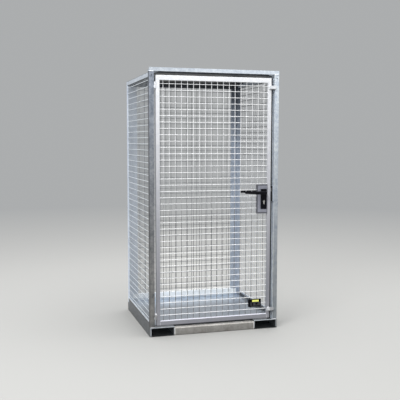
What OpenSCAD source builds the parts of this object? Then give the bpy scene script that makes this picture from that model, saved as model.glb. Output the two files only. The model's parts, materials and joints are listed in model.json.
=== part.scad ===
// Gas cylinder cage: a hot-dip galvanised store with a single mesh door,
// fork pockets in the base and a lever lock. Millimetres.
// Inside this file x runs from the cage's left side, y from its front face and z from the ground.

/* [Cage] */
// Width over the posts
cage_w = 1100; // [900:10:1400]
// Depth from the front face to the rear face
cage_d = 980; // [800:10:1300]
// Height of the front posts' tops
post_top = 2130; // [1700:1:2400]
// Drop from the front posts' tops to the top rails' upper sides
rail_drop = 10; // [4:1:16]

/* [Frame tubes] */
// Side of the square corner posts
post_w = 40; // [36:1:50]
// Wall of the posts and rails
tube_wall = 3; // [2:0.5:4]
// Outer corner radius of every frame tube
tube_r = 3; // [1:0.5:4]
// Height of the side top rails, and depth of every rail
rail_h = 35; // [30:1:45]
// Height of the rear top and bottom rails
rear_rail_h = 43; // [20:1:50]
// Width of the upright bars beside the rear posts
rear_bar_w = 50; // [30:1:70]
// Height of the rear bottom rail's upper edge
rear_rail_top = 150; // [130:1:200]
// Height of the front angle that ties the front posts' tops
angle_h = 30; // [15:1:60]
// Thickness of the front angle
angle_t = 4; // [3:0.5:6]
// Diameter of the zinc vent holes near the posts' tops
vent_d = 9; // [5:0.5:14]
// Distance of the vent holes below the posts' tops
vent_drop = 32; // [15:1:60]
// Length of the small gussets between the front posts and the front angle
gusset_l = 48; // [20:1:80]
// Height of the small gussets
gusset_h = 15; // [8:1:20]
// Plate thickness of the gussets
gusset_t = 4; // [2:0.5:8]

/* [Base] */
// Outer width of a fork pocket
pocket_w = 201; // [150:1:260]
// Outer height of a fork pocket
pocket_h = 77; // [60:1:110]
// Wall of a fork pocket
pocket_wall = 7; // [4:0.5:10]
// Thickness of the side skirts
skirt_t = 4; // [2:0.5:6]
// Height of the side skirts
skirt_h = 125; // [115:1:160]
// Height of the folded hem along a skirt's upper edge
hem_h = 12; // [6:1:20]
// Thickness of the floor sheet
floor_t = 3; // [2:0.5:6]
// Distance of the floor sheet's front edge behind the front face
floor_setback = 50; // [42:1:80]
// Sheet thickness of the sills between the fork pockets
sill_t = 4; // [2:0.5:6]
// Ground clearance under the sills
sill_lift = 4; // [2:1:15]
// Step from the pockets' top down to the front sill's ledge
sill_step = 11; // [4:1:20]
// Width of the sills' lower flange
sill_foot = 30; // [15:1:45]
// Width of the bearer under the middle of the floor
bearer_w = 60; // [40:1:120]

/* [Roof] */
// Thickness of the roof sheet
roof_t = 2; // [1.5:0.5:4]
// Height of the roof sheet's folded front edge, against the front angle
upturn_h = 24; // [18:1:40]
// Shank diameter of the roof screws
screw_d = 5.5; // [4:0.5:8]
// Width across flats of the screws' heads
screw_head = 8; // [7:0.5:13]
// Thickness of the screws' heads
screw_head_t = 3; // [2:0.5:6]
// Thickness of the screws' washers
washer_h = 1.5; // [1:0.5:3]
// Diameter of the screws' washers
screw_washer = 14; // [12:1:20]
// Free length of a screw below the roof sheet
screw_reach = 9; // [5:1:20]
// Distance of the outer side screws from the posts
side_screw_end = 90; // [30:1:300]
// Distance of the rear screws from the cage's sides
rear_screw_end = 330; // [60:1:420]

/* [Mesh] */
// Wire diameter
wire_d = 4.5; // [3:0.1:6]
// Mesh spacing, both ways
pitch = 50.4; // [30:0.1:100]
// Distance of the door's first upright wire from the hinge stile
door_mesh_x = 32.5; // [15:0.5:45]
// Distance of the door's lowest wire above the bottom rail
door_mesh_z = 44; // [15:1:48]
// Depth of the door's upright wires behind the door's front
door_mesh_y = 22; // [15:0.5:24]
// Distance of the rear mesh's first upright wire from the right bar
rear_mesh_x = 41.5; // [20:0.5:48]
// Smallest distance of an outer wire from its frame
mesh_edge = 20; // [8:1:30]
// Length of the side wires that lap over the skirts
mesh_lap = 22; // [15:1:40]

/* [Door] */
// Height of the door's lower edge above the ground
door_low = 88; // [84:1:100]
// Distance of the door's upper edge below the front posts' tops
head_gap = 30; // [20:1:60]
// Gap between the left post and the door
hinge_gap = 15; // [14:0.5:20]
// Gap between the door and the right post
free_gap = 25; // [23:1:29]
// Width of the door's stiles
stile_w = 30; // [25:1:50]
// Height of the door's top and bottom rails
door_rail_h = 38; // [25:1:60]
// Depth of the door's tubes, front to back
door_d = 30; // [30:1:40]
// Wall of the door's tubes
door_wall = 2; // [1.5:0.5:3]
// Length of the stop lugs
lug_l = 54; // [44:1:80]
// Height of the stop lugs
lug_h = 30; // [15:1:60]
// Thickness of the stop lugs
lug_t = 16; // [4:0.5:25]
// Overlap of a stop lug on the post
lug_overlap = 4; // [3:1:15]
// Width of the closing strip behind the gap
strip_w = 33; // [30:1:50]
// Thickness of the closing strip
strip_t = 4; // [2:0.5:6]
// Gap between the door's back and the closing strip
strip_gap = 0.5; // [0.3:0.1:2]

/* [Hinges] */
// Barrel diameter
barrel_d = 13.5; // [11:0.5:13.5]
// Height of one knuckle
knuckle_h = 24.5; // [15:0.5:60]
// Height of a hinge's centre above the door's lower edge, and below its upper edge
hinge_inset = 78; // [50:1:300]
// Pin diameter
pin_d = 8; // [5:0.5:9]
// Radial running clearance between pin and upper knuckle
pin_gap = 0.05; // [0.02:0.01:0.1]
// Thickness of the brass washer between the knuckles
washer_t = 1; // [0.5:0.1:3]
// Distance of the hinge axis in front of the front face
axis_front = 2; // [1:0.5:5]
// Depth of the welding lug behind the hinge axis
hinge_lug_d = 16; // [10:0.5:25]

/* [Lock] */
// Distance of the lock axis from the door's free edge
backset = 65; // [60:1:70]
// Height of the lever's axis above the ground
lever_z = 1155; // [900:1:1300]
// Distance from the lever's axis down to the cylinder's axis
cylinder_drop = 72; // [72:1:92]
// Height of the lock case
case_h = 240; // [210:1:300]
// Height of the case above the lever's axis
case_rise = 67; // [50:1:90]
// Width of the lock case
case_w = 91; // [85:1:110]
// Wall of the lock case
case_wall = 3; // [2:0.5:4]
// Width of the long plates
plate_w = 50; // [40:1:54]
// Height of the long plates
plate_h = 167; // [150:1:220]
// Height of a long plate above the lever's axis
plate_rise = 31; // [22:1:60]
// Thickness of the long plates
plate_t = 8; // [4:0.5:12]
// Corner radius of the long plates
plate_r = 5; // [2:0.5:12]

/* [Lever] */
// Distance of the lever's front from the door's front face
lever_reach = 62; // [55:1:80]
// Length from the lever's axis to its tip
lever_l = 178; // [110:1:190]
// Thickness of the grip, front to back
lever_t = 20; // [14:1:24]
// Height of the grip beside the neck
grip_h = 31; // [24:1:34]
// Height of the grip at its tip
tip_h = 20; // [14:1:24]
// Length of the tip's return towards the door
tip_return = 18; // [5:1:28]
// Diameter of the lever's neck
neck_d = 21; // [18:0.5:24]
// Running clearance around turning and sliding lock pieces
lock_gap = 0.3; // [0.1:0.05:0.5]
// Side of the square spindle
spindle_w = 8; // [7:0.5:10]

/* [Bolts] */
// Thickness of the latch bolt and the deadbolt, front to back
bolt_t = 12; // [8:0.5:16]
// Height of the latch bolt
latch_h = 26; // [18:1:30]
// Height of the latch bolt's centre above the lever's axis
latch_rise = 22; // [20:1:30]
// Distance that the latch bolt stands out of the door
latch_out = 16; // [14:1:17]
// Height of the deadbolt
deadbolt_h = 22; // [16:1:26]
// Height of the deadbolt's centre above the cylinder's axis
deadbolt_rise = 31; // [30:1:34]
// Travel of the deadbolt
deadbolt_throw = 32; // [30:1:34]
// Length of the deadbolt that the case still guides at full travel
deadbolt_guide = 36; // [30:1:38]
// Play around the bolts in the keeper's slots
strike_play = 2; // [1:0.5:2.5]
// Depth of the keeper, from the post's face towards the door
strike_t = 18; // [16:1:20]
// Width of the keeper, front to back
strike_w = 22; // [21:1:24]
// Height of the keeper above the latch bolt and below the deadbolt
strike_rim = 20; // [10:1:40]

/* [Label plate] */
// Width of the label plate
label_w = 116; // [100:1:160]
// Height of the label plate
label_h = 68; // [62:1:120]
// Thickness of the label plate
label_t = 2.5; // [1:0.5:5]
// Distance of the plate's right edge from the lock stile
label_inset = 44; // [20:1:200]
// Height of the plate's lower edge above the door's lower edge
label_low = 100; // [60:1:400]
// Width of the coloured bar on the label plate
bar_w = 58; // [20:1:60]
// Height of the coloured bar
bar_h = 16; // [6:1:24]
// Distance of the bar from the plate's right edge
bar_inset = 21; // [6:1:30]
// Distance of the bar below the plate's upper edge
bar_drop = 8; // [4:1:16]
// Width of the grey field under the bar
field_w = 88; // [60:1:90]
// Height of the grey field
field_h = 30; // [16:1:34]
// Distance of the grey field from the plate's right edge
field_inset = 7; // [4:1:10]
// Gap between the bar and the grey field
field_gap = 3; // [1:1:5]

/* [Hidden] */
$fn = 48;

// The frame's origin is the middle of the outline's footprint, lever included.
front_y = -(cage_d - lever_reach) / 2;
// Face clearance between pieces that are welded or lie against each other
seat = 0.02;
// Play of the roof screws in the rails and in the roof sheet
rail_play = 0.2;
roof_play = 0.5;
// Small radii and chamfers
lug_r = 2;
pin_chamfer = 1;
// Clear sizes of the cage
clear_w = cage_w - 2 * post_w;
rail_top = post_top - rail_drop;
rail_low = rail_top - rail_h;
rear_rail_low = rail_top - rear_rail_h;
sill_x = skirt_t + pocket_w;
sill_l = cage_w - 2 * sill_x;
ledge_z = pocket_h - sill_step;
// Door
door_x = post_w + hinge_gap;
door_x1 = cage_w - post_w - free_gap;
door_w = door_x1 - door_x;
door_top = post_top - head_gap;
door_h = door_top - door_low;
door_clear_w = door_w - 2 * stile_w;
door_clear_h = door_h - 2 * door_rail_h;
// Hinges
axis_x = post_w + hinge_gap / 2;
hinge_low_z = door_low + hinge_inset;
hinge_high_z = door_top - hinge_inset;
// Lock
lock_x = door_x1 - backset;
plug_z = lever_z - cylinder_drop;
case_x1 = door_x1 - stile_w;
case_x = case_x1 - case_w;
case_z = lever_z + case_rise - case_h;
latch_z = lever_z + latch_rise;
deadbolt_z = plug_z + deadbolt_rise;
bolt_y = door_d / 2;
// Lock cylinder: its round head, the lug below it, and the plug with its cam and key slots
cyl_d = 17;
cyl_lug_w = 10;
cyl_h = 33;
cyl_out = 3;
plug_d = 12;
cam_t = 9;
cam_r = 15;
cam_w = 6;
key_w = 2.4;
key_h = 8;
key_depth = 9;
cyl_play = 0.1;
plug_play = 0.05;
spindle_play = 0.1;
// Follower, and the latch bolt's tail around its arm
hub_d = 24;
arm_r = 22;
arm_w = 8;
arm_play = 2;
fork_w = 10;
tail_h = 10;
tail_drop = 8;
fork_reach = 16;
latch_hold = 12;
latch_tip = 2;
// Grip: radius of its corners, bevel of its edges, and set-back of the returned tip's front
grip_r = 4;
bevel = 2;
bend = 6;

module in_frame() {
  translate([-cage_w / 2, front_y, 0]) children();
}

// The same piece on the other side of the cage
module other_side() {
  translate([cage_w, 0, 0]) mirror([1, 0, 0]) children();
}

module rounded(w, d, r) {
  translate([r, 0]) square([w - 2 * r, d]);
  translate([0, r]) square([w, d - 2 * r]);
  for (x = [r, w - r]) for (y = [r, d - r]) translate([x, y]) circle(r);
}

module tube_outline(w, d, wall, r) {
  difference() {
    rounded(w, d, r);
    translate([wall, wall]) rounded(w - 2 * wall, d - 2 * wall, max(r - wall, 1));
  }
}

// A tube standing up along z
module tube_up(w, d, wall, length, r = tube_r) {
  linear_extrude(length) tube_outline(w, d, wall, r);
}

// A tube lying along x: d is its depth along y and h its height
module tube_across(length, d, h, wall, r = tube_r) {
  rotate([90, 0, 90]) linear_extrude(length) tube_outline(d, h, wall, r);
}

// A tube lying along y: w is its width along x and h its height
module tube_deep(length, w, h, wall, r = tube_r) {
  translate([0, length, 0]) rotate([90, 0, 0]) linear_extrude(length) tube_outline(w, h, wall, r);
}

module box(x, y, z, w, d, h) {
  translate([x, y, z]) cube([w, d, h]);
}

// A round bar from a point along an axis
module bar_x(x, y, z, length, d) {
  translate([x, y, z]) rotate([0, 90, 0]) cylinder(h = length, d = d);
}

module bar_y(x, y, z, length, d) {
  translate([x, y, z]) rotate([-90, 0, 0]) cylinder(h = length, d = d);
}

// Wires along w and h in the xz plane, the level ones in front of the upright ones
module wires(first_x, first_z, w, h, edge_x, edge_z, lap = 0) {
  cols = floor((w - first_x - edge_x) / pitch);
  rows = floor((h - first_z - edge_z) / pitch);
  for (i = [0:cols]) translate([first_x + i * pitch, 0, -lap]) cylinder(h = h + lap, d = wire_d);
  for (k = [0:rows]) bar_x(0, -wire_d - seat, first_z + k * pitch, w, wire_d);
}

// Distance of the first wire from the frame where the wires are centred over a length
function centred(length) = (length - floor((length - 2 * mesh_edge) / pitch) * pitch) / 2;

// Base

module fork_pocket() {
  color("silver") translate([skirt_t, 0, 0])
    tube_deep(cage_d, pocket_w, pocket_h, pocket_wall, pocket_wall - 1);
}

module fork_pocket_left() {
  in_frame() fork_pocket();
}

module fork_pocket_right() {
  in_frame() other_side() fork_pocket();
}

// A channel between the fork pockets, its web at y = 0
module sill(top, ledge) {
  box(sill_x, 0, sill_lift, sill_l, sill_t, top - sill_lift);
  box(sill_x, 0, top - sill_t, sill_l, ledge, sill_t);
  box(sill_x, 0, sill_lift, sill_l, sill_foot, sill_t);
}

module front_sill() {
  color("silver") in_frame() sill(ledge_z, floor_setback + floor_t);
}

module rear_sill() {
  color("silver") in_frame() translate([0, cage_d, 0]) mirror([0, 1, 0]) sill(pocket_h, post_w);
}

module floor_bearer() {
  color("silver") in_frame() difference() {
    box(sill_x, (cage_d - bearer_w) / 2, sill_lift, sill_l, bearer_w, pocket_h - sill_lift);
    box(sill_x - 1, (cage_d - bearer_w) / 2 + sill_t, sill_lift - 1,
      sill_l + 2, bearer_w - 2 * sill_t, pocket_h - sill_lift - sill_t + 1);
  }
}

module floor_sheet() {
  color("gainsboro") in_frame() {
    box(skirt_t, floor_setback, pocket_h, cage_w - 2 * skirt_t, cage_d - post_w - floor_setback, floor_t);
    box(post_w, cage_d - post_w, pocket_h, clear_w, post_w - skirt_t, floor_t);
    box(sill_x, floor_setback, ledge_z, sill_l, floor_t, sill_step + floor_t);
  }
}

module side_skirt() {
  color("silver") {
    box(0, 0, 0, skirt_t, cage_d, pocket_h);
    box(0, post_w, pocket_h, skirt_t, cage_d - 2 * post_w, skirt_h - pocket_h);
    box(skirt_t, post_w, skirt_h - hem_h, skirt_t, cage_d - 2 * post_w, hem_h);
  }
}

module side_skirt_left() {
  in_frame() side_skirt();
}

module side_skirt_right() {
  in_frame() other_side() side_skirt();
}

module rear_skirt() {
  color("silver") in_frame()
    box(post_w, cage_d - skirt_t, pocket_h, clear_w, skirt_t, rear_rail_top - rear_rail_h - pocket_h);
}

// Upright frame

module post(top) {
  color("lightsteelblue") difference() {
    translate([0, 0, pocket_h]) tube_up(post_w, post_w, tube_wall, top - pocket_h);
    bar_y(post_w / 2, -1, top - vent_drop, tube_wall + 2, vent_d);
  }
}

module rear_place() {
  translate([0, cage_d, 0]) mirror([0, 1, 0]) children();
}

// Slot for a bolt, through everything on the way along x
module bolt_slot(z, h, x, length, play) {
  box(x, bolt_y - bolt_t / 2 - play, z - h / 2 - play, length, bolt_t + 2 * play, h + 2 * play);
}

module strike_slots(play) {
  x = cage_w - post_w - strike_t - 1;
  length = strike_t + tube_wall + 2;
  bolt_slot(latch_z, latch_h, x, length, play);
  bolt_slot(deadbolt_z, deadbolt_h, x, length, play);
}

module post_front_left() {
  in_frame() post(post_top);
}

module post_front_right() {
  in_frame() difference() {
    other_side() post(post_top);
    strike_slots(strike_play + 1);
  }
}

module post_rear_left() {
  in_frame() rear_place() post(rail_top);
}

module post_rear_right() {
  in_frame() rear_place() other_side() post(rail_top);
}

module screw_hole(x, y, d) {
  translate([x, y, rail_top - tube_wall - 1]) cylinder(h = tube_wall + roof_t + 2, d = d);
}

side_screws = [post_w + side_screw_end, cage_d / 2, cage_d - post_w - side_screw_end];
rear_screws = [rear_screw_end, cage_w - rear_screw_end];

module top_rail() {
  color("lightsteelblue") difference() {
    translate([0, post_w, rail_low]) tube_deep(cage_d - 2 * post_w, rail_h, rail_h, tube_wall);
    for (y = side_screws) screw_hole(rail_h / 2, y, screw_d + rail_play);
  }
}

module top_rail_left() {
  in_frame() top_rail();
}

module top_rail_right() {
  in_frame() other_side() top_rail();
}

module top_rail_rear() {
  color("lightsteelblue") in_frame() difference() {
    translate([post_w, cage_d - rail_h, rear_rail_low])
      tube_across(clear_w, rail_h, rear_rail_h, tube_wall);
    for (x = rear_screws) screw_hole(x, cage_d - rail_h / 2, screw_d + rail_play);
  }
}

// An angle across the tops of the front posts, its upright leg to the front
module front_angle() {
  color("lightsteelblue") in_frame() rotate([90, 0, 90]) linear_extrude(cage_w) {
    translate([0, post_top]) square([post_w, angle_t]);
    translate([0, post_top]) square([angle_t, angle_h]);
    difference() {
      translate([angle_t, post_top + angle_t]) square(angle_t);
      translate([2 * angle_t, post_top + 2 * angle_t]) circle(angle_t);
    }
  }
}

module rear_bar() {
  color("lightsteelblue") translate([post_w, cage_d - rail_h, rear_rail_top])
    tube_up(rear_bar_w, rail_h, tube_wall, rear_rail_low - rear_rail_top);
}

module rear_bar_left() {
  in_frame() rear_bar();
}

module rear_bar_right() {
  in_frame() other_side() rear_bar();
}

module rear_bottom_rail() {
  color("lightsteelblue") in_frame()
    translate([post_w, cage_d - rail_h, rear_rail_top - rear_rail_h])
      tube_across(clear_w, rail_h, rear_rail_h, tube_wall);
}

module roof_gusset() {
  color("lavender") translate([post_w, post_w - tube_r, post_top]) rotate([90, 0, 0])
    linear_extrude(gusset_t) polygon([[0, 0], [gusset_l, 0], [0, -gusset_h]]);
}

module roof_gusset_left() {
  in_frame() roof_gusset();
}

module roof_gusset_right() {
  in_frame() other_side() roof_gusset();
}

// Roof

module at_roof_screws() {
  for (x = [rail_h / 2, cage_w - rail_h / 2]) for (y = side_screws) translate([x, y, 0]) children();
  for (x = rear_screws) translate([x, cage_d - rail_h / 2, 0]) children();
}

module roof_sheet() {
  color("lightsteelblue") in_frame() difference() {
    union() {
      box(0, post_w + seat, rail_top, cage_w, cage_d - post_w - seat, roof_t);
      box(0, post_w + seat, rail_top, cage_w, roof_t, upturn_h);
    }
    at_roof_screws() screw_hole(0, 0, screw_d + roof_play);
  }
}

module roof_screw() {
  translate([0, 0, rail_top + roof_t]) {
    cylinder(h = washer_h, d = screw_washer);
    cylinder(h = washer_h + screw_head_t, d = screw_head / cos(30), $fn = 6);
    translate([0, 0, -roof_t - screw_reach]) cylinder(h = roof_t + screw_reach + washer_h, d = screw_d);
  }
}

module roof_screws() {
  color("gray") in_frame() at_roof_screws() roof_screw();
}

// Mesh walls

module side_mesh() {
  w = cage_d - 2 * post_w;
  h = rail_low - skirt_h;
  color("whitesmoke")
    translate([2 * skirt_t + seat + wire_d / 2, cage_d - post_w, skirt_h]) rotate([0, 0, -90])
      wires(centred(w), centred(h), w, h, mesh_edge, mesh_edge, mesh_lap);
}

module mesh_left() {
  in_frame() side_mesh();
}

module mesh_right() {
  in_frame() other_side() side_mesh();
}

module mesh_rear() {
  h = rear_rail_low - rear_rail_top;
  color("whitesmoke") in_frame()
    translate([cage_w - post_w - rear_bar_w, cage_d - rail_h / 2, rear_rail_top]) rotate([0, 0, 180])
      wires(rear_mesh_x, centred(h), clear_w - 2 * rear_bar_w, h, mesh_edge, mesh_edge);
}

// Hinges: the lower knuckle on the post carries the pin, the upper one turns with the door

module knuckle(z, bore) {
  translate([axis_x, -axis_front, z]) difference() {
    union() {
      cylinder(h = knuckle_h, d = barrel_d);
      translate([-hinge_gap / 2, 0, 0]) cube([hinge_gap / 2, hinge_lug_d, knuckle_h]);
    }
    translate([0, 0, -1]) cylinder(h = knuckle_h + 2, d = bore);
  }
}

module post_knuckle(z) {
  color("silver") knuckle(z - knuckle_h - washer_t / 2, pin_d);
}

module door_knuckle(z) {
  color("silver") translate([2 * axis_x, 0, 0]) mirror([1, 0, 0])
    knuckle(z + washer_t / 2, pin_d + 2 * pin_gap);
}

module hinge_pin(z) {
  pin_l = 2 * knuckle_h + washer_t;
  color("white") translate([axis_x, -axis_front, z - pin_l / 2]) {
    cylinder(h = pin_l, d = pin_d);
    translate([0, 0, pin_l]) cylinder(h = pin_chamfer, d1 = pin_d, d2 = pin_d - 2 * pin_chamfer);
  }
}

module hinge_washer(z) {
  translate([axis_x, -axis_front, z - washer_t / 2]) difference() {
    cylinder(h = washer_t, d = barrel_d);
    translate([0, 0, -1]) cylinder(h = washer_t + 2, d = pin_d + 2 * pin_gap);
  }
}

module hinge_post_upper() {
  in_frame() post_knuckle(hinge_high_z);
}

module hinge_post_lower() {
  in_frame() post_knuckle(hinge_low_z);
}

module hinge_door_upper() {
  in_frame() door_knuckle(hinge_high_z);
}

module hinge_door_lower() {
  in_frame() door_knuckle(hinge_low_z);
}

module hinge_pin_upper() {
  in_frame() hinge_pin(hinge_high_z);
}

module hinge_pin_lower() {
  in_frame() hinge_pin(hinge_low_z);
}

module hinge_washers() {
  color("goldenrod") in_frame() for (z = [hinge_low_z, hinge_high_z]) hinge_washer(z);
}

// Door

module stile() {
  tube_up(stile_w, door_d, door_wall, door_h, tube_r);
}

module door_stile_hinge() {
  color("white") in_frame() translate([door_x, 0, door_low]) stile();
}

module bolt_passages(x, length) {
  bolt_slot(latch_z, latch_h, x, length, lock_gap);
  bolt_slot(deadbolt_z, deadbolt_h, x, length, lock_gap);
}

module door_stile_lock() {
  color("white") in_frame() difference() {
    translate([door_x1 - stile_w, 0, door_low]) stile();
    bolt_passages(case_x1 - 1, stile_w + 2);
  }
}

module door_rail(z) {
  color("white") translate([door_x + stile_w, 0, z])
    tube_across(door_clear_w, door_d, door_rail_h, door_wall);
}

module door_rail_top() {
  in_frame() door_rail(door_top - door_rail_h);
}

module door_rail_bottom() {
  in_frame() door_rail(door_low);
}

module door_mesh() {
  color("whitesmoke") in_frame() difference() {
    translate([door_x + stile_w, door_mesh_y, door_low + door_rail_h])
      wires(door_mesh_x, door_mesh_z, door_clear_w, door_clear_h, mesh_edge, mesh_edge);
    box(case_x, 0, case_z, case_w + 1, door_d, case_h);
  }
}

// A lug on the door's front that meets the post's front face when the door is shut
module door_stop(z) {
  x1 = door_x1 + free_gap + lug_overlap;
  color("silver") translate([x1 - lug_l, 0, z]) rotate([90, 0, 0]) linear_extrude(lug_t)
    translate([0, -lug_h / 2]) rounded(lug_l, lug_h, lug_r);
}

module door_stop_upper() {
  in_frame() door_stop(hinge_high_z);
}

module door_stop_lower() {
  in_frame() door_stop(hinge_low_z);
}

label_y = door_mesh_y - 1.5 * wire_d - 2 * seat;
label_x = door_x1 - stile_w - label_inset - label_w;
label_z = door_low + label_low;
label_r = 8;
film_t = 0.4;
clip_h = 10;
clip_t = 1.5;
stud_d = 4;

// The middle of the mesh cell around a place, counted from any wire
function cell_middle(place, wire) = wire + (floor((place - wire) / pitch) + 0.5) * pitch;

stud_x = cell_middle(label_x + label_w / 2, door_x + stile_w + door_mesh_x);
stud_z = cell_middle(label_z + label_h / 2, door_low + door_rail_h + door_mesh_z);

module label_plate() {
  color("black") in_frame() translate([label_x, label_y, label_z]) rotate([90, 0, 0])
    linear_extrude(label_t) rounded(label_w, label_h, label_r);
}

// A thin film on the plate's front, measured from the plate's upper right corner
module label_film(inset, drop, w, h) {
  translate([label_x + label_w - inset - w, label_y - label_t - film_t, label_z + label_h - drop - h])
    cube([w, film_t, h]);
}

module label_bar() {
  color("yellow") in_frame() label_film(bar_inset, bar_drop, bar_w, bar_h);
}

module label_field() {
  color("gray") in_frame() label_film(field_inset, bar_drop + bar_h + field_gap, field_w, field_h);
}

// Two clips behind the mesh, each with two studs through its cells to the plate's back
module label_clip(z) {
  clip_y = door_mesh_y + wire_d / 2 + seat;
  box(stud_x - clip_h, clip_y, z - clip_h / 2, pitch + 2 * clip_h, clip_t, clip_h);
  for (x = [stud_x, stud_x + pitch]) bar_y(x, label_y + seat, z, clip_y - label_y, stud_d);
}

module label_clips() {
  color("silver") in_frame() for (z = [stud_z - pitch, stud_z]) label_clip(z);
}

// Lock

module cylinder_outline(grow) {
  circle(d = cyl_d + 2 * grow);
  translate([-cyl_lug_w / 2 - grow, cyl_d / 2 - cyl_h - grow])
    square([cyl_lug_w + 2 * grow, cyl_h - cyl_d / 2 + grow]);
}

// Extrudes an outline in the xz plane from y0 towards the back
module facing_front(x, y0, z, depth) {
  translate([x, y0 + depth, z]) rotate([90, 0, 0]) linear_extrude(depth) children();
}

module cylinder_hole(y0, depth) {
  facing_front(lock_x, y0, plug_z, depth) cylinder_outline(cyl_play);
}

module lock_case() {
  color("darkgray") in_frame() difference() {
    box(case_x, 0, case_z, case_w, door_d, case_h);
    box(case_x + case_wall, case_wall, case_z + case_wall,
      case_w - 2 * case_wall, door_d - 2 * case_wall, case_h - 2 * case_wall);
    bar_y(lock_x, -1, lever_z, door_d + 2, hub_d + 2);
    cylinder_hole(-1, door_d + 2);
    bolt_passages(case_x1 - case_wall - 1, case_wall + 2);
  }
}

module lock_plate(y0) {
  color("black") difference() {
    facing_front(lock_x - plate_w / 2, y0, lever_z + plate_rise - plate_h, plate_t)
      rounded(plate_w, plate_h, plate_r);
    bar_y(lock_x, y0 - 1, lever_z, plate_t + 2, neck_d + 2 * lock_gap);
    cylinder_hole(y0 - 1, plate_t + 2);
  }
}

module lock_plate_outer() {
  in_frame() lock_plate(-plate_t);
}

module lock_plate_inner() {
  in_frame() lock_plate(door_d);
}

cyl_y0 = -plate_t - cyl_out;
cyl_l = door_d + 2 * plate_t + 2 * cyl_out;

module plug_bores(grow) {
  bar_y(lock_x, cyl_y0 - 1, plug_z, cyl_l + 2, plug_d + 2 * grow);
}

module cylinder_body() {
  color("silver") in_frame() difference() {
    facing_front(lock_x, cyl_y0, plug_z, cyl_l) cylinder_outline(0);
    plug_bores(plug_play);
    bar_y(lock_x, bolt_y - cam_t / 2 - lock_gap, plug_z, cam_t + 2 * lock_gap, 2 * cam_r + 2 * lock_gap);
  }
}

// The plug with its cam in the middle and a key slot at each end
module cylinder_plug() {
  color("gold") in_frame() difference() {
    union() {
      bar_y(lock_x, cyl_y0, plug_z, cyl_l, plug_d);
      bar_y(lock_x, bolt_y - cam_t / 2, plug_z, cam_t, cyl_d);
      box(lock_x - cam_w / 2, bolt_y - cam_t / 2, plug_z - cam_r + 1, cam_w, cam_t, cam_r - 1);
    }
    for (y = [cyl_y0 - 1, cyl_y0 + cyl_l - key_depth])
      box(lock_x - key_w / 2, y, plug_z - key_h / 2, key_w, key_depth + 1, key_h);
  }
}

module spindle_hole(y0, length) {
  side = spindle_w + spindle_play;
  box(lock_x - side / 2, y0, lever_z - side / 2, side, length, side);
}

// A disc as thick as the grip, bevelled front and back
module bevelled(x, y, z, d) {
  bar_y(x, y + bevel, z, lever_t - 2 * bevel, d, $fn = 24);
  bar_y(x, y, z, lever_t, d - 1.5 * bevel, $fn = 24);
}

// The grip tapers to its tip, its upper edge level, and returns towards the door there
module grip() {
  y0 = -lever_reach;
  top = grip_h / 2;
  tip_x = -lever_l + tip_h;
  tip_z = top - tip_h / 2;
  hull() {
    for (z = [top - grip_r, grip_r - top]) bevelled(-grip_r, y0, z, 2 * grip_r);
    bevelled(tip_x, y0, tip_z, tip_h);
  }
  hull() {
    bar_y(tip_x, y0 + bevel, tip_z, lever_t - bevel, tip_h - bevel, $fn = 24);
    bar_y(tip_x - tip_h / 2, y0 + bend, tip_z, lever_t + tip_return - bend, tip_h - bevel, $fn = 24);
  }
}

module lever() {
  difference() {
    translate([lock_x, 0, lever_z]) union() {
      grip();
      bar_y(0, -lever_reach + lever_t / 2, 0, lever_reach - lever_t / 2, neck_d);
    }
    spindle_hole(-lever_reach + lever_t / 2 + 6, lever_reach);
  }
}

module to_back() {
  translate([0, door_d, 0]) mirror([0, 1, 0]) children();
}

module lever_outer() {
  color("black") in_frame() lever();
}

module lever_inner() {
  color("black") in_frame() to_back() lever();
}

module spindle() {
  inset = lever_reach - lever_t / 2 - 7;
  color("gray") in_frame()
    box(lock_x - spindle_w / 2, -inset, lever_z - spindle_w / 2, spindle_w, door_d + 2 * inset, spindle_w);
}

// The follower turns with the spindle, and its arm draws the latch bolt back
module follower() {
  t = door_d - 2 * lock_gap;
  color("gray") in_frame() difference() {
    union() {
      bar_y(lock_x, lock_gap, lever_z, t, hub_d);
      box(lock_x - arm_w / 2, bolt_y - bolt_t / 4, lever_z, arm_w, bolt_t / 2, arm_r);
    }
    spindle_hole(-1, door_d + 2);
  }
}

// The latch bolt with a forked tail around the follower's arm
module latch_bolt() {
  tail_x = lock_x - arm_w / 2 - fork_w;
  head_x = door_x1 - stile_w - latch_hold;
  head_l = door_x1 + latch_out - head_x;
  color("silver") in_frame() difference() {
    union() {
      translate([head_x, bolt_y - bolt_t / 2, latch_z - latch_h / 2]) linear_extrude(latch_h)
        polygon([[0, 0], [head_l, 0], [head_l, latch_tip], [head_l - latch_out, bolt_t], [0, bolt_t]]);
      box(tail_x, bolt_y - bolt_t / 2, latch_z - tail_drop, head_x - tail_x, bolt_t, tail_h);
    }
    box(lock_x - arm_w / 2 - arm_play, bolt_y - bolt_t / 4 - lock_gap, latch_z - tail_drop - 1,
      arm_w + arm_play + fork_reach, bolt_t / 2 + 2 * lock_gap, tail_h + 2);
  }
}

module deadbolt() {
  length = deadbolt_guide + stile_w + deadbolt_throw;
  color("silver") in_frame()
    box(door_x1 - length, bolt_y - bolt_t / 2, deadbolt_z - deadbolt_h / 2, length, bolt_t, deadbolt_h);
}

// The keeper on the right post, which both bolts enter
module strike_plate() {
  low = deadbolt_z - deadbolt_h / 2 - strike_rim;
  high = latch_z + latch_h / 2 + strike_rim;
  color("silver") in_frame() difference() {
    box(cage_w - post_w - strike_t, bolt_y - strike_w / 2, low, strike_t, strike_w, high - low);
    strike_slots(strike_play);
  }
}

// A flat bar on the right post, behind the gap that the door leaves
module closing_strip() {
  color("lightsteelblue") in_frame()
    box(cage_w - post_w - strip_w, door_d + strip_gap, pocket_h, strip_w, strip_t, door_top - pocket_h);
}

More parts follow.
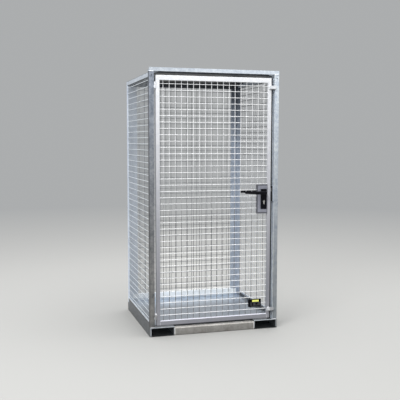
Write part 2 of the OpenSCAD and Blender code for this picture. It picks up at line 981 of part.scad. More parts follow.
fork_pocket_left();
fork_pocket_right();
front_sill();
rear_sill();
floor_bearer();
floor_sheet();
side_skirt_left();
side_skirt_right();
rear_skirt();
post_front_left();
post_front_right();
post_rear_left();
post_rear_right();
top_rail_left();
top_rail_right();
top_rail_rear();
front_angle();
rear_bar_left();
rear_bar_right();
rear_bottom_rail();
roof_gusset_left();
roof_gusset_right();
roof_sheet();
roof_screws();
mesh_left();
mesh_right();
mesh_rear();
hinge_post_upper();
hinge_post_lower();
hinge_pin_upper();
hinge_pin_lower();
hinge_washers();
strike_plate();
closing_strip();
door_stile_hinge();
door_stile_lock();
door_rail_top();
door_rail_bottom();
door_mesh();
hinge_door_upper();
hinge_door_lower();
door_stop_upper();
door_stop_lower();
label_plate();
label_bar();
label_field();
label_clips();
lock_case();
lock_plate_outer();
lock_plate_inner();
cylinder_body();
cylinder_plug();
lever_outer();
lever_inner();
spindle();
follower();
latch_bolt();
deadbolt();
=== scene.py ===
import json
import math
import random

import bmesh
import bpy
from mathutils import Matrix, Vector


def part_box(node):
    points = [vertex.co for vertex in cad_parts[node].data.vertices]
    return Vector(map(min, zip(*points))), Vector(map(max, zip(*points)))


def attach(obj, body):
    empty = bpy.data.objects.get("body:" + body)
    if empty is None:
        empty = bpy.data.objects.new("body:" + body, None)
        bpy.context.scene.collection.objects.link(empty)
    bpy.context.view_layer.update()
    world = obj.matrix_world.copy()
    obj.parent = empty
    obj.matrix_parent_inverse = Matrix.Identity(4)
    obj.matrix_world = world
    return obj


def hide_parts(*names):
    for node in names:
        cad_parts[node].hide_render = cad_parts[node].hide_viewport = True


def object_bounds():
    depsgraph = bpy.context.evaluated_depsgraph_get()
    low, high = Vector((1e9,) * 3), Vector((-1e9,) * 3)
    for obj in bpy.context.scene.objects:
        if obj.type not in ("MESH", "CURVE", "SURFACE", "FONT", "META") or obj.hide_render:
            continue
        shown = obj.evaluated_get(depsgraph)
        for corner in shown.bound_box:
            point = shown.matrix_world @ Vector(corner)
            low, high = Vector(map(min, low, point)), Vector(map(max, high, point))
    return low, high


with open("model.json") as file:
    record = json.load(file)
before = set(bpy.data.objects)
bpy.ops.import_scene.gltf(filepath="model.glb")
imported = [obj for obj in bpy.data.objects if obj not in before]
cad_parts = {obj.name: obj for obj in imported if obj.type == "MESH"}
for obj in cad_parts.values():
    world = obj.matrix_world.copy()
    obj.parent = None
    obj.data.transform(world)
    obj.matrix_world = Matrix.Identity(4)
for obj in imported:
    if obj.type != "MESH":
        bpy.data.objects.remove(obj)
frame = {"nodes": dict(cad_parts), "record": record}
CAD_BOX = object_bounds()

MM = 0.001

# Places in a point, and in a box's pair of corners
X, Y, Z = range(3)
LOW, HIGH = range(2)
ACROSS = Vector((1.0, 0.0, 0.0))
UP = Vector((0.0, 0.0, 1.0))

# The camera, from a fit to the wires, the posts and the base
CAMERA_AT = Vector((-1.70307, -5.84596, 1.57816))
CAMERA_YAW = 16.468
CAMERA_DOWN = 4.898
CAMERA_ROLL = 0.112
LENS_MM = 62.42
SENSOR_MM = 36.0
SHIFT = (-0.00625, 0.0025)
SEES_TO = 100.0

# Studio
BACKDROP_TONE = (0.41, 0.42, 0.425)
FLOOR_TONE = (0.37, 0.37, 0.36)
FLOOR_RADIUS = 24.0
FLOOR_FADE = (3.0, 11.0)
SIDE_LIGHT = (0.26, 0.27, 0.29)
TOP_LIGHT = (1.0, 1.0, 1.0)
TOP_LIGHT_FROM = 0.75
LIGHT_STRENGTH = 1.45

# Lamps: name, place, side of the square and power, all turned to one point on the cage
LAMPS = (
    ("key", (-4.5, -5.0, 6.0), 3.0, 320.0),
    ("top", (0.5, -0.5, 6.5), 4.0, 190.0),
)
LAMPS_AIM = Vector((0.0, 0.0, 1.1))

# Places on the cage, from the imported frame
POST_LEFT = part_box("post_front_left")
POST_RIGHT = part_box("post_front_right")
POCKET_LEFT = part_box("fork_pocket_left")
POCKET_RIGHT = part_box("fork_pocket_right")
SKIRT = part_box("side_skirt_left")
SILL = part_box("front_sill")
FLOOR_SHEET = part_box("floor_sheet")
ROOF_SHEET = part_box("roof_sheet")
DOOR_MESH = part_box("door_mesh")
LEFT_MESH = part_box("mesh_left")
RIGHT_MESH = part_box("mesh_right")
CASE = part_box("lock_case")
STILE_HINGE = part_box("door_stile_hinge")
STILE_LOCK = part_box("door_stile_lock")
STOP_LUGS = ("door_stop_lower", "door_stop_upper")
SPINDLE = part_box("spindle")
FRONT = POST_LEFT[LOW][Y]
REAR = CAD_BOX[HIGH][Y]
LEFT_SIDE = CAD_BOX[LOW][X]
WIRE_D = (DOOR_MESH[HIGH][Y] - DOOR_MESH[LOW][Y]) / 2

# Sizes of the base's plates that no box gives
POCKET_WALL = 7 * MM
HEM = 12 * MM

# Heights over which the zinc darkens towards the ground: partly duller zinc, partly painted shade
DULL_SHADE_LOW = 0.3
DULL_SHADE_HIGH = 2.0
DULL_SHADE_CURVE = 1.4

# Heights above which a place lies just under the roof, and below which it lies under the lock
UNDER_ROOF = 2.0
UNDER_LOCK = 1.0

# Stretches over which a painted shade fades in or out, along one axis
LEFT_TO_MIDDLE = (LEFT_SIDE, 0.1)
REAR_POST_FADE = (1.55, 2.0)
FLOOR_PALE = (REAR - 0.35, REAR - 0.05)
POCKET_FADE = (0.25, 0.44)
DOOR_WIRE_FADE = (0.9, 1.5)
RIGHT_WIRE_FADE = (1.1, 1.5)

# Widths of the painted edges, and the spare that carries one past the piece's own surface
FLOOR_EDGE = 12 * MM
ROOF_EDGE_DEPTH = 3 * MM
ROOF_EDGE_H = 11 * MM
SKIRT_FOOT = 5 * MM
SILL_LEDGE = 8 * MM
SILL_END = 6 * MM
CASE_RIM = 6 * MM
BARREL_TOP = 9 * MM
DOOR_FOOT = 5 * MM
STILE_EDGE = 4 * MM
STRIP_BRIGHT = 4.5 * MM
KEEPER_BRIGHT = 9.5 * MM
LUG_FOOT = 6 * MM
LUG_ACROSS = 6 * MM
SPARE = 1 * MM

# How far a surface has to face along an axis to count, from not at all to fully
FACING_FADE = (0.4, 0.7)

draw = random.Random(5)

FINISHES = {}


class Value:
    """A socket of a finish's tree. Arithmetic on it adds Math nodes."""

    def __init__(self, tree, socket):
        self.tree = tree
        self.socket = socket

    def math(self, operation, a, b=0.0):
        return self.tree.add("ShaderNodeMath", {"operation": operation}, {0: a, 1: b})

    def __add__(self, other):
        return self.math("ADD", self, other)

    def __sub__(self, other):
        return self.math("SUBTRACT", self, other)

    def __rsub__(self, other):
        return self.math("SUBTRACT", other, self)

    def __mul__(self, other):
        return self.math("MULTIPLY", self, other)

    def __pow__(self, other):
        return self.math("POWER", self, other)

    __radd__ = __add__
    __rmul__ = __mul__

    def above(self, edge):
        return self.math("GREATER_THAN", self, edge)

    def below(self, edge):
        return self.math("LESS_THAN", self, edge)

    def size(self):
        return self.math("ABSOLUTE", self)

    def toward(self, other, share):
        return self + share * (other - self)

    def darkened(self, share, where):
        """This value less a share of it, where the mask is 1."""
        return self * (1.0 - share * where)

    def clamped(self, low=0.0, high=1.0):
        """This value brought from low..high to 0..1, and cut off outside it."""
        return self.tree.add("ShaderNodeMapRange", {"clamp": True},
                             {"Value": self, "From Min": low, "From Max": high})


class Tree:
    """A node tree on its way."""

    def __init__(self, owner):
        owner.use_nodes = True
        self.nodes = owner.node_tree.nodes
        self.links = owner.node_tree.links

    def add(self, kind, settings=None, values=None, output=0):
        node = self.nodes.new(kind)
        for key, value in (settings or {}).items():
            setattr(node, key, value)
        for key, value in (values or {}).items():
            self.join(value, node.inputs[key])
        return Value(self, node.outputs[output])

    def join(self, value, socket):
        if isinstance(value, Value):
            self.links.new(value.socket, socket)
        else:
            socket.default_value = value

    def mix(self, low, high, share, blend="MIX"):
        return self.add("ShaderNodeMix", {"data_type": "RGBA", "blend_type": blend},
                        {0: share, 6: low, 7: high}, output=2)


class Finish(Tree):
    """A material, kept in FINISHES by its name: its tree, its shader and what feeds it."""

    def __init__(self, name, constants):
        self.material = bpy.data.materials.new(name)
        FINISHES[name] = self.material
        super().__init__(self.material)
        self.shader = self.nodes["Principled BSDF"]
        for socket, value in constants.items():
            self.shader.inputs[socket].default_value = value
        self.place = self.add("ShaderNodeTexCoord", output="Object")

    def feed(self, socket, value):
        self.join(value, self.shader.inputs[socket])

    def tint(self, colour, other):
        return self.mix(colour, other, 1.0, "MULTIPLY")

    def grey(self, value):
        return self.add("ShaderNodeCombineColor", None, {0: value, 1: value, 2: value})

    def stretched(self, by):
        return self.add("ShaderNodeVectorMath", {"operation": "MULTIPLY"}, {0: self.place, 1: by})

    def noise(self, scale, detail=3.0, place=None):
        values = {"Vector": place or self.place, "Scale": scale, "Detail": detail, "Roughness": 0.55}
        return self.add("ShaderNodeTexNoise", None, values, output="Fac")

    def cells(self, scale):
        """A random value for each crystal of the zinc."""
        values = {"Vector": self.place, "Scale": scale}
        colour = self.add("ShaderNodeTexVoronoi", None, values, output="Color")
        return self.add("ShaderNodeSeparateColor", None, {"Color": colour})

    def along(self, axis):
        return self.add("ShaderNodeSeparateXYZ", None, {0: self.place}, output=axis)

    def within(self, axis, low, high):
        return self.along(axis).above(low) * self.along(axis).below(high)

    def facing(self, axis, side):
        """1 where the surface faces along the axis, on the side +1 or -1, and 0 elsewhere."""
        normal = self.add("ShaderNodeTexCoord", output="Normal")
        part = self.add("ShaderNodeSeparateXYZ", None, {0: normal}, output=axis)
        return (side * part).clamped(*FACING_FADE)

    def bump(self, height, strength, distance):
        values = {"Height": height, "Strength": strength, "Distance": distance}
        self.feed("Normal", self.add("ShaderNodeBump", None, values))


def rgb(r, g, b):
    return (r, g, b, 1.0)


# Zinc's layers: their scale, and their share in its colour
CRYSTAL_SCALE = 70.0
CLOUD_SCALE = 7.0
PATCH_SCALE = 26.0
RUN_SCALE = (34.0, 34.0, 3.0)
CRYSTAL_SHARE = 0.35
CLOUD_SHARE = 0.9
PATCH_SHARE = 1.1
RUN_SHARE = 0.8


def zinc(name, light, dark, foot=1.0, foot_hue=None, metallic=0.7, rough=0.42, shade=None):
    """Hot-dip zinc: crystals, cloudy patches and runs, and darker towards the ground where foot is under 1,
    partly duller zinc and partly painted shade.

    foot_hue, if given, tints the colour towards the ground.
    shade, if given, takes the finish and its level, and returns the level changed from place to place by
    painted shade and light.
    """
    finish = Finish(name, {"Metallic": metallic})
    crystals = finish.cells(CRYSTAL_SCALE)
    clouds = finish.noise(CLOUD_SCALE, 4.0)
    patches = finish.noise(PATCH_SCALE)
    runs = finish.noise(1.0, place=finish.stretched(RUN_SCALE))
    share = (0.5 + CRYSTAL_SHARE * (crystals - 0.5) + CLOUD_SHARE * (clouds - 0.5)
             + PATCH_SHARE * (patches - 0.5) + RUN_SHARE * (runs - 0.5))
    colour = finish.mix(rgb(*dark), rgb(*light), share.clamped())
    height = finish.along(Z).clamped(DULL_SHADE_LOW, DULL_SHADE_HIGH)
    if foot_hue:
        colour = finish.tint(colour, finish.mix(rgb(*foot_hue), rgb(1, 1, 1), height))
    # Darker towards the ground: partly duller zinc, partly painted shade
    level = foot + (1.0 - foot) * height ** DULL_SHADE_CURVE
    if shade:
        level = shade(finish, level)
    finish.feed("Base Color", finish.tint(colour, finish.grey(level)))
    finish.feed("Roughness", rough + 0.16 * (crystals - 0.5) + 0.2 * (clouds - 0.5))
    finish.bump(finish.noise(260.0, 2.0) + 0.6 * crystals, 0.12, 0.6 * MM)


def plastic(name, colour, rough=0.42, gloss=0.5):
    """Smooth black and coloured parts, with faint clouds and a fine grain."""
    finish = Finish(name, {"Specular IOR Level": gloss})
    clouds = finish.noise(30.0)
    finish.feed("Base Color", finish.tint(rgb(*colour), finish.grey(0.85 + 0.3 * clouds)))
    finish.feed("Roughness", rough + 0.12 * (clouds - 0.5))
    finish.bump(finish.noise(900.0, 2.0), 0.15, 0.3 * MM)


def plated(name, light, dark):
    """Bright metal of the pins, washers and lock parts, with a little wear."""
    finish = Finish(name, {"Metallic": 0.9})
    clouds = finish.noise(60.0, 4.0)
    finish.feed("Base Color", finish.mix(rgb(*dark), rgb(*light), clouds.clamped(0.3, 0.7)))
    finish.feed("Roughness", 0.3 + 0.25 * (clouds - 0.5))
    finish.bump(finish.noise(500.0, 2.0), 0.08, 0.3 * MM)


def frame_shade(finish, level):
    """Painted shade underneath, just below the roof, and up there a little darker towards the left."""
    roof = finish.along(Z).above(UNDER_ROOF)
    left = 1.0 - finish.along(X).clamped(*LEFT_TO_MIDDLE)
    return level.darkened(0.9, finish.facing(Z, -1) * roof).darkened(0.2, left * roof)


def left_post_shade(finish, level):
    """Painted shade on the side away from the door."""
    return level.darkened(0.62, finish.facing(X, -1))


def right_post_shade(finish, level):
    """Painted light: the face towards the door keeps its full colour down to the ground, inside the shaded
    gap.
    """
    return level.toward(1.0, finish.facing(X, -1))


def rear_post_shade(finish, level):
    """Painted shade under the roof on the inner sides, fading back to full colour over the half metre below.
    """
    inner = (finish.facing(Y, -1) + finish.facing(X, -1)).clamped()
    return level * (0.95 - 0.72 * inner * finish.along(Z).clamped(*REAR_POST_FADE))


def rear_rail_shade(finish, level):
    """Dark on the side towards the door and underneath, where the roof keeps the light off."""
    return level.darkened(0.9, (finish.facing(Y, -1) + finish.facing(Z, -1)).clamped())


def sheet_shade(finish, level):
    """Painted shade on the roof's underside and turned front edge, and painted light making the floor paler
    towards the rear.

    The floor's front edge, behind the slot under the door, has painted shade too.
    """
    roof = finish.along(Z).above(UNDER_ROOF)
    floor = 1.0 - roof
    slot = floor * finish.along(Y).below(FLOOR_SHEET[LOW][Y] + FLOOR_EDGE)
    front = finish.along(Y).below(ROOF_SHEET[LOW][Y] + ROOF_EDGE_DEPTH)
    edge = front * finish.along(Z).below(ROOF_SHEET[LOW][Z] + ROOF_EDGE_H)
    under = (roof * (finish.facing(Z, -1) + 0.75 * edge)).clamped()
    pale = floor * finish.along(Y).clamped(*FLOOR_PALE)
    return level.darkened(0.92, under).darkened(0.8, slot) * (0.8 + 0.2 * roof + pale)


def pocket_shade(finish, level):
    """Painted shade inside the fork pockets and at the foot, painted light deeper inside, and painted
    highlights on the rims' upper and left outer sides.

    The wall is taken a little thinner than it is, so that its inner face counts as inside.
    """
    wall = POCKET_WALL - 0.3 * MM
    middle = (POCKET_RIGHT[LOW][X] + POCKET_RIGHT[HIGH][X]) / 2
    half = (POCKET_RIGHT[HIGH][X] - POCKET_RIGHT[LOW][X]) / 2 - wall
    head_low = POCKET_RIGHT[HIGH][Z] - wall
    from_middle = (finish.along(X).size() - middle).size()
    hollow = from_middle.below(half) * finish.within(Z, wall, head_low)
    foot = finish.along(Z).below(POCKET_WALL + SPARE)
    deep = 1.0 - finish.along(Y).size().clamped(*POCKET_FADE)
    walls = (1.0 - hollow).darkened(0.9, foot)
    inside = (hollow * (0.5 + 2.5 * deep)).darkened(0.6, foot)
    mouth = finish.facing(Y, -1) + finish.facing(Y, 1)
    head = finish.along(Z).above(head_low)
    outer = finish.along(X).below(POCKET_LEFT[LOW][X] + POCKET_WALL) * (1.0 - head)
    return level * (walls + inside + mouth * (1.5 * head + 1.2 * outer))


def skirt_shade(finish, level):
    """A painted highlight on the hem over a strip of painted shade, and painted shade along the edge on the
    ground.
    """
    height = finish.along(Z)
    hem = height.above(SKIRT[HIGH][Z] - HEM)
    strip = height.above(SKIRT[HIGH][Z] - 2 * HEM) - hem
    foot = height.below(SKIRT_FOOT)
    return level * (0.57 + 2.4 * hem - 0.27 * (strip + foot))


def sill_shade(finish, level):
    """Painted highlights on the ledge and the ends, round a web that is darker towards its foot."""
    height = finish.along(Z)
    web = 0.8 + 0.25 * height.clamped(0.0, SILL[HIGH][Z])
    ledge = height.above(SILL[HIGH][Z] - SILL_LEDGE)
    ends = finish.along(X).size().above(SILL[HIGH][X] - SILL_END)
    return level * (web + 1.3 * (ledge + ends).clamped())


def case_shade(finish, level):
    """A darker outline round the lock case's faces, broader at the head and broadest at the foot."""
    left = finish.along(X).below(CASE[LOW][X] + CASE_RIM)
    right = finish.along(X).above(CASE[HIGH][X] - CASE_RIM)
    foot = finish.along(Z).below(CASE[LOW][Z] + 2 * CASE_RIM)
    head = finish.along(Z).above(CASE[HIGH][Z] - 1.5 * CASE_RIM)
    return level * (0.9 - 0.5 * (left + right + foot + head).clamped())


def hinge_shade(finish, level):
    """The lower hinge is darker, all but the top of its barrel, which keeps a painted highlight."""
    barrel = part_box("hinge_door_lower")
    return level.darkened(0.62, finish.along(Z).below(barrel[HIGH][Z] - BARREL_TOP))


def door_shade(finish, level):
    """Painted highlight where the frame faces up, and painted shade along its foot and along the lock
    stile's outer edge.
    """
    foot = finish.along(Z).below(STILE_LOCK[LOW][Z] + DOOR_FOOT)
    edge = finish.within(X, STILE_LOCK[HIGH][X] - STILE_EDGE, STILE_LOCK[HIGH][X] + SPARE)
    return level.toward(0.85, finish.facing(Z, 1)).darkened(0.6, foot).darkened(0.85, edge)


def strip_shade(finish, level):
    """Painted shade on the closing strip's front behind the gap; beside the post it stays bright."""
    behind_gap = finish.along(X).below(POST_RIGHT[LOW][X] - STRIP_BRIGHT)
    return level.darkened(0.96, behind_gap * finish.facing(Y, -1))


def keeper_shade(finish, level):
    """Painted shade behind the gap; the keeper stands nearer to the front than the strip, so more of it is
    bright.
    """
    return level.darkened(0.96, finish.along(X).below(POST_RIGHT[LOW][X] - KEEPER_BRIGHT))


def lug_shade(finish, level):
    """Painted shade along both stop lugs' foot, and on the lower one where it crosses the gap."""
    lower, upper = (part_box(lug)[LOW][Z] for lug in STOP_LUGS)
    lower_foot = finish.within(Z, lower - SPARE, lower + LUG_FOOT)
    upper_foot = finish.within(Z, upper - SPARE, upper + LUG_FOOT)
    across = finish.along(X).above(STILE_LOCK[HIGH][X] - LUG_ACROSS) * finish.along(Z).below(UNDER_LOCK)
    return level.darkened(0.75, lower_foot + upper_foot).darkened(0.4, across)


def door_wire_shade(finish, level):
    """The upright wires, in the layer behind the level ones, are darker on the lower half, a painted
    reflection of the darker ground.
    """
    upright = finish.along(Y).above(DOOR_MESH[LOW][Y] + WIRE_D)
    lower_half = 1.0 - finish.along(Z).clamped(*DOOR_WIRE_FADE)
    return level.darkened(0.8, upright * lower_half)


def left_wire_shade(finish, level):
    """Painted shade on the inner layer of wires."""
    return level.darkened(0.6, finish.along(X).above(LEFT_MESH[LOW][X] + WIRE_D))


def right_wire_shade(finish, level):
    """Painted shade: a little towards the roof, and far more on the level wires in the outer layer."""
    level_wire = finish.along(X).above(RIGHT_MESH[LOW][X] + WIRE_D)
    return level * (0.85 - (0.12 + 0.65 * level_wire) * finish.along(Z).clamped(*RIGHT_WIRE_FADE))


def rear_wire_shade(finish, level):
    """Painted shade on the inside, and painted light on the side that faces out."""
    return level * (1.0 + 1.2 * finish.facing(Y, 1))


# Finishes of the upright frame
zinc("zinc_frame", (0.86, 0.92, 0.98), (0.62, 0.69, 0.78), foot=0.30, metallic=0.45, shade=frame_shade)
# Near-white zinc on the rear bottom rail and rear skirt, its brightness partly painted light
zinc("zinc_frame_bright", (0.97, 1.0, 1.0), (0.88, 0.94, 1.0), metallic=0.0)
zinc("zinc_frame_rear", (0.62, 0.69, 0.80), (0.44, 0.51, 0.62), shade=rear_post_shade)
zinc("zinc_post_left", (0.46, 0.50, 0.57), (0.17, 0.20, 0.25), foot=0.55, foot_hue=(1.14, 1.02, 0.86),
     shade=left_post_shade)
zinc("zinc_post_right", (0.92, 0.98, 1.0), (0.50, 0.57, 0.68), foot=0.30, metallic=0.3,
     shade=right_post_shade)
zinc("zinc_rear_left", (0.80, 0.86, 0.95), (0.62, 0.69, 0.80), metallic=0.5)
zinc("zinc_rear_rail", (0.80, 0.86, 0.95), (0.56, 0.63, 0.73), metallic=0.5, shade=rear_rail_shade)
zinc("zinc_strip", (0.84, 0.91, 1.0), (0.62, 0.69, 0.79), metallic=0.3, shade=strip_shade)
# Dark colours: painted shade of the gap behind the door
zinc("zinc_keeper", (0.36, 0.40, 0.46), (0.27, 0.30, 0.35), metallic=0.3, shade=keeper_shade)
zinc("zinc_weld", (0.98, 0.99, 1.0), (0.72, 0.75, 0.80), foot=0.8, metallic=0.4, rough=0.35)

# Finishes of the base and the sheets
zinc("zinc_base", (0.29, 0.31, 0.33), (0.18, 0.195, 0.21), shade=pocket_shade)
zinc("zinc_skirt", (0.29, 0.31, 0.33), (0.16, 0.175, 0.19), shade=skirt_shade)
zinc("zinc_sill", (0.42, 0.41, 0.39), (0.26, 0.25, 0.235), shade=sill_shade)
zinc("zinc_sheet", (0.43, 0.47, 0.52), (0.29, 0.325, 0.37), shade=sheet_shade)

# Finishes of the wires
zinc("zinc_wire", (0.98, 0.99, 1.0), (0.80, 0.82, 0.85), foot=0.8, metallic=0.5, rough=0.3)
zinc("zinc_wire_door", (1.0, 1.0, 1.0), (0.92, 0.93, 0.95), metallic=0.3, rough=0.3, shade=door_wire_shade)
zinc("zinc_wire_left", (0.92, 0.97, 1.0), (0.80, 0.86, 0.92), foot=0.8, metallic=0.4, shade=left_wire_shade)
zinc("zinc_wire_right", (0.80, 0.82, 0.85), (0.60, 0.62, 0.65), metallic=0.6, shade=right_wire_shade)
# Dark colours: painted shade of the rear wires under the roof
zinc("zinc_wire_rear", (0.38, 0.39, 0.40), (0.22, 0.23, 0.24), metallic=0.6, shade=rear_wire_shade)

# Finishes of the door, its hinges and its lock
zinc("zinc_door", (0.98, 0.98, 0.99), (0.86, 0.88, 0.92), foot=0.29, foot_hue=(0.98, 0.98, 1.06),
     metallic=0.3, shade=door_shade)
zinc("zinc_lug", (0.95, 0.96, 0.98), (0.72, 0.75, 0.80), foot=0.8, metallic=0.4, shade=lug_shade)
zinc("zinc_case", (0.46, 0.47, 0.54), (0.32, 0.33, 0.39), shade=case_shade)
zinc("zinc_hinge", (0.97, 0.98, 1.0), (0.78, 0.80, 0.84), metallic=0.5, shade=hinge_shade)
plated("pin_steel", (0.80, 0.80, 0.79), (0.60, 0.60, 0.59))
plated("washer_brass", (0.78, 0.62, 0.32), (0.55, 0.42, 0.20))
plated("lock_nickel", (0.66, 0.65, 0.62), (0.48, 0.47, 0.44))
plastic("black_plastic", (0.003, 0.003, 0.005), gloss=0.09)
plastic("label_black", (0.003, 0.003, 0.004), rough=0.45, gloss=0.06)
plastic("label_yellow", (0.84, 0.86, 0.20), rough=0.4)
plastic("label_grey", (0.042, 0.042, 0.046), rough=0.45, gloss=0.15)

# Nodes whose finish isn't that of the rest of their slot
OWN_FINISH = {
    "post_front_left": "zinc_post_left",
    "post_front_right": "zinc_post_right",
    "post_rear_right": "zinc_frame_rear",
    "rear_bar_right": "zinc_frame_rear",
    "post_rear_left": "zinc_rear_left",
    "rear_bar_left": "zinc_rear_left",
    "top_rail_rear": "zinc_rear_rail",
    "closing_strip": "zinc_strip",
    "strike_plate": "zinc_keeper",
    "rear_bottom_rail": "zinc_frame_bright",
    "rear_skirt": "zinc_frame_bright",
    "side_skirt_left": "zinc_skirt",
    "side_skirt_right": "zinc_skirt",
    "front_sill": "zinc_sill",
    "rear_sill": "zinc_sill",
    "door_mesh": "zinc_wire_door",
    "mesh_left": "zinc_wire_left",
    "mesh_right": "zinc_wire_right",
    "mesh_rear": "zinc_wire_rear",
    "door_stop_upper": "zinc_lug",
    "door_stop_lower": "zinc_lug",
    "lock_case": "zinc_case",
}


def dress_cad():
    """Each node takes its own finish, or else that of its slot."""
    slot_of = {row["node"]: row["material_slot"] for row in frame["record"]["subparts"]}
    for name, node in frame["nodes"].items():
        finish = FINISHES[OWN_FINISH.get(name, slot_of[name])]
        for index in range(max(1, len(node.material_slots))):
            if len(node.data.materials) <= index:
                node.data.materials.append(finish)
            else:
                node.data.materials[index] = finish


def add_piece(name, form, finish, slot, body, *replaced):
    """A smooth piece of the scene, from its form, that rides on a body and may replace nodes."""
    mesh = bpy.data.meshes.new(name)
    bmesh.ops.recalc_face_normals(form, faces=form.faces)
    form.to_mesh(mesh)
    form.free()
    for face in mesh.polygons:
        face.use_smooth = True
    mesh.materials.append(FINISHES[finish])
    piece = bpy.data.objects.new(name, mesh)
    bpy.context.scene.collection.objects.link(piece)
    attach(piece, body)
    if replaced:
        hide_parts(*replaced)


def circle(centre, radius, across, up, count):
    """Points round a centre, in the plane of two directions."""
    angles = [2 * math.pi * i / count for i in range(count)]
    return [centre + radius * (math.cos(angle) * across + math.sin(angle) * up) for angle in angles]


def skin(form, rings):
    """Faces between rings of points, and over the two ends."""
    loops = [[form.verts.new(point) for point in ring] for ring in rings]
    count = len(loops[0])
    for near, far in zip(loops, loops[1:]):
        for i in range(count):
            j = (i + 1) % count
            form.faces.new((near[i], near[j], far[j], far[i]))
    form.faces.new(loops[0][::-1])
    form.faces.new(loops[-1])


# Lever
GRIP_T = 20 * MM
GRIP_THINNING = 1.2 * MM
GRIP_ROUND = 7 * MM
GRIP_SQUARE = 2.6
GRIP_POINTS = 28
TIP_H = 20 * MM
TIP_RETURN = 18 * MM
TIP_BEND = 13 * MM
NECK_R = 10.3 * MM

# How far the grip starts inside its node's box, and what its tip is moved out for being thinner
HUB_IN = 0.3 * MM
TIP_OUT = 1 * MM

# Rings in each stretch of the grip, and how far its first and last ring stay open
HUB_STEPS = 5
STRAIGHT_STEPS = 12
BEND_STEPS = 8
RETURN_STEPS = 6
FIRST_ANGLE = 4
LAST_SQUARE = 0.02


def grip_stations(low, high):
    """Places along the grip's middle line, from behind the axis to the end of the tip's return.

    Each is x, depth behind the grip's front, direction, share of the full section, and share of the way
    from the hub's height to the tip's.
    """
    start = high[X] - HUB_IN
    straight_x = start - GRIP_ROUND
    bend_x = low[X] + GRIP_T / 2 + TIP_BEND - TIP_OUT
    stations = []
    for step in range(HUB_STEPS + 1):
        angle = 90 * step / HUB_STEPS
        back = GRIP_ROUND * (1 - math.cos(math.radians(angle)))
        swell = math.sin(math.radians(max(FIRST_ANGLE, angle)))
        stations.append((start - back, 0.0, 0.0, swell, 0.0))
    for step in range(1, STRAIGHT_STEPS + 1):
        share = step / STRAIGHT_STEPS
        stations.append((straight_x - (straight_x - bend_x) * share, 0.0, 0.0, 1.0, share))
    for step in range(1, BEND_STEPS + 1):
        turn = math.radians(90 * step / BEND_STEPS)
        x = bend_x - TIP_BEND * math.sin(turn)
        stations.append((x, TIP_BEND * (1 - math.cos(turn)), turn, 1.0, 1.0))
    end = TIP_RETURN + GRIP_T / 2 - TIP_BEND
    for step in range(1, RETURN_STEPS + 1):
        share = step / RETURN_STEPS
        swell = math.sqrt(max(LAST_SQUARE, 1 - share ** 4))
        stations.append((bend_x - TIP_BEND, TIP_BEND + end * share, math.pi / 2, swell, 1.0))
    return stations


def squared(part):
    """A circle's sine or cosine, drawn out towards a square with round corners."""
    return math.copysign(abs(part) ** (2 / GRIP_SQUARE), part)


def grip_ring(station, low, high, front, side):
    """The grip's outline at one station."""
    x, depth, turn, swell, taper = station
    hub_half = (high[Z] - low[Z]) / 2
    half_height = hub_half + (TIP_H / 2 - hub_half) * taper
    half_width = GRIP_T / 2 - GRIP_THINNING * taper
    middle_z = high[Z] - half_height
    ring = []
    for i in range(GRIP_POINTS):
        angle = 2 * math.pi * i / GRIP_POINTS
        across = swell * half_width * squared(math.cos(angle))
        up = swell * half_height * squared(math.sin(angle))
        behind = GRIP_T / 2 + depth + across * math.cos(turn)
        ring.append(Vector((x + across * math.sin(turn), front - side * behind, middle_z + up)))
    return ring


def make_lever(name, node, side):
    """Grip and neck of a lever; side is -1 in front of the door and 1 behind it."""
    low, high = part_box(node)
    front = low[Y] if side < 0 else high[Y]
    door_face = STILE_LOCK[LOW][Y] if side < 0 else STILE_LOCK[HIGH][Y]
    axis_x = (SPINDLE[LOW][X] + SPINDLE[HIGH][X]) / 2
    axis_z = (low[Z] + high[Z]) / 2
    form = bmesh.new()
    skin(form, [grip_ring(station, low, high, front, side) for station in grip_stations(low, high)])
    to_grip = abs(front - door_face) - GRIP_T / 2
    neck = ((to_grip, 0.96), (0.72 * to_grip, 0.9), (0.45 * to_grip, 0.86),
            (11 * MM, 0.9), (8.5 * MM, 1.0), (0.2 * MM, 1.0))
    rings = []
    for reach, share in neck:
        centre = Vector((axis_x, door_face + side * reach, axis_z))
        rings.append(circle(centre, NECK_R * share, ACROSS, UP, GRIP_POINTS))
    skin(form, rings)
    add_piece(name, form, "black_plastic", "black_plastic", "lever", node)


# Weld beads: their rings, their ripples, and the share of their size that they start and end with
BEAD_STEP = 1.3 * MM
BEAD_POINTS = 8
BEAD_INSET = 3 * MM
RIPPLE = 0.13
RIPPLE_TURN = 1.9
UNEVEN = 0.07
BEAD_START = 0.4
BEAD_RISE = 5

# Spot welds of the meshes, and what tells one wire's end from the next
NUGGET_R = 3.2 * MM
NUGGET_FLAT = 0.6
END_WELD_R = 3.6 * MM
END_WELD_FLAT = 0.9
END_WELD_IN = 1 * MM
WIRE_GAP = 10 * MM
WIRE_END = 0.1 * MM


def bead(form, start, end, size):
    """A run of weld between two points, with ripples and a tapered start and end."""
    start = Vector(start)
    run = Vector(end) - start
    across = run.orthogonal().normalized()
    other = run.cross(across).normalized()
    count = max(5, int(run.length / BEAD_STEP))
    rings = []
    for step in range(count + 1):
        share = step / count
        ripple = 1.0 + RIPPLE * math.sin(RIPPLE_TURN * step) + draw.uniform(-UNEVEN, UNEVEN)
        radius = size * ripple * min(1.0, BEAD_START + BEAD_RISE * min(share, 1 - share))
        rings.append(circle(start + run * share, radius, across, other, BEAD_POINTS))
    skin(form, rings)


def seam(form, box, line, size):
    """A bead along a piece's box, short of its corners, where two of the three places are as line says."""
    start = [line.get(axis, box[LOW][axis] + BEAD_INSET) for axis in (X, Y, Z)]
    end = [line.get(axis, box[HIGH][axis] - BEAD_INSET) for axis in (X, Y, Z)]
    bead(form, start, end, size)


